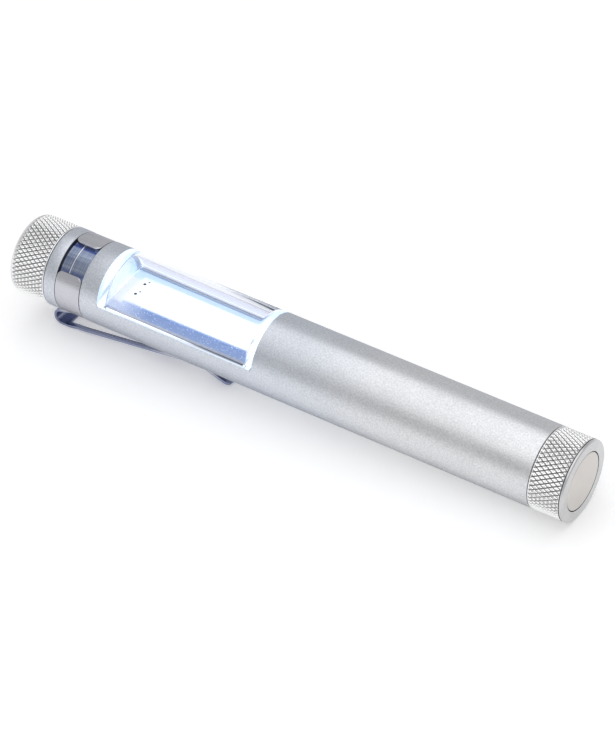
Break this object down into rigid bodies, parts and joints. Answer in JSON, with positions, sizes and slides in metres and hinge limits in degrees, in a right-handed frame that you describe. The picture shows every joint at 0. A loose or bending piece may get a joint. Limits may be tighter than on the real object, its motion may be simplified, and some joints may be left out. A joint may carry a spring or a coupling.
{
  "type": "flashlight",
  "caption": "Slim pen-style work light: satin aluminium barrel with a side window over an LED strip, knurled twist head, knurled magnetic tail cap and a spring pocket clip.",
  "frame": {"origin": "centre of the magnet's outer face, in the tail cap's end", "axes": "+X out of the tail along the barrel's axis, +Z out of the window, the barrel runs along -X to the head"},
  "size_m": [0.106, 0.014, 0.018],
  "materials": {
    "satin_aluminium": "bead-blasted, clear anodised satin",
    "knurled_aluminium": "bright diamond knurl",
    "nickel_magnet": "dull nickel plate",
    "spring_steel": "plain drawn wire",
    "clip_steel": "bright nickel-plated spring steel",
    "contact_brass": "plain brass",
    "cell_sleeve": "printed sleeve on a steel can",
    "white_plastic": "moulded white",
    "strip_substrate": "white solder mask on a metal core",
    "strip_phosphor": "lit phosphor gel",
    "solder": "tin solder",
    "circuit_board": "green solder mask",
    "black_epoxy": "moulded black epoxy",
    "tan_ceramic": "tan ceramic with tinned ends",
    "red_insulation": "soft red insulation",
    "black_insulation": "soft black insulation",
    "clear_lens": "clear moulded acrylic"
  },
  "bodies": {
    "barrel": {"barrel": "satin_aluminium", "window_lens": "clear_lens", "battery_cell": "cell_sleeve", "positive_contact": "contact_brass", "light_tray": "white_plastic", "cob_board": "strip_substrate", "cob_phosphor": "strip_phosphor", "cob_pin_positive": "solder", "cob_pin_negative": "solder", "driver_board": "circuit_board", "driver_chip": "black_epoxy", "driver_inductor": "black_epoxy", "driver_diode": "black_epoxy", "driver_capacitor": "tan_ceramic", "wire_red": "red_insulation", "wire_black": "black_insulation", "front_contact_plate": "contact_brass"},
    "tail_spring": {"tail_spring": "spring_steel"},
    "tail_cap": {"tail_cap": "knurled_aluminium", "magnet": "nickel_magnet"},
    "head_contact": {"head_contact": "contact_brass"},
    "head_cap": {"head_cap": "knurled_aluminium"},
    "clip_band": {"clip_band": "clip_steel"},
    "clip_arm": {"clip_arm": "clip_steel"}
  },
  "joints": [
    {"name": "tail_cap_travel", "type": "slide", "parent": "barrel", "child": "tail_spring", "axis": [1, 0, 0], "range_m": [0, 0.003]},
    {"name": "tail_cap_unscrew", "type": "hinge", "parent": "tail_spring", "child": "tail_cap", "pos_m": [0, 0, 0], "axis": [1, 0, 0], "range_deg": [0, 1440]},
    {"name": "head_travel", "type": "slide", "parent": "barrel", "child": "head_contact", "axis": [-1, 0, 0], "range_m": [0, 0.000375]},
    {"name": "head_twist", "type": "hinge", "parent": "head_contact", "child": "head_cap", "pos_m": [-0.1, 0, 0], "axis": [-1, 0, 0], "range_deg": [0, 180]},
    {"name": "clip_swivel", "type": "hinge", "parent": "barrel", "child": "clip_band", "pos_m": [-0.094, 0, 0], "axis": [1, 0, 0], "continuous": true},
    {"name": "clip_flex", "type": "hinge", "parent": "clip_band", "child": "clip_arm", "pos_m": [-0.09995, 0, -0.00953], "axis": [0, 1, 0], "range_deg": [0, 8], "stiffness_Nm_per_rad": 0.6, "springref_deg": -2.86}
  ],
  "couplings": [
    {"joint": "tail_cap_unscrew", "follows": "tail_cap_travel", "rad_per_m": 8377.6},
    {"joint": "head_twist", "follows": "head_travel", "rad_per_m": 8377.6}
  ]
}
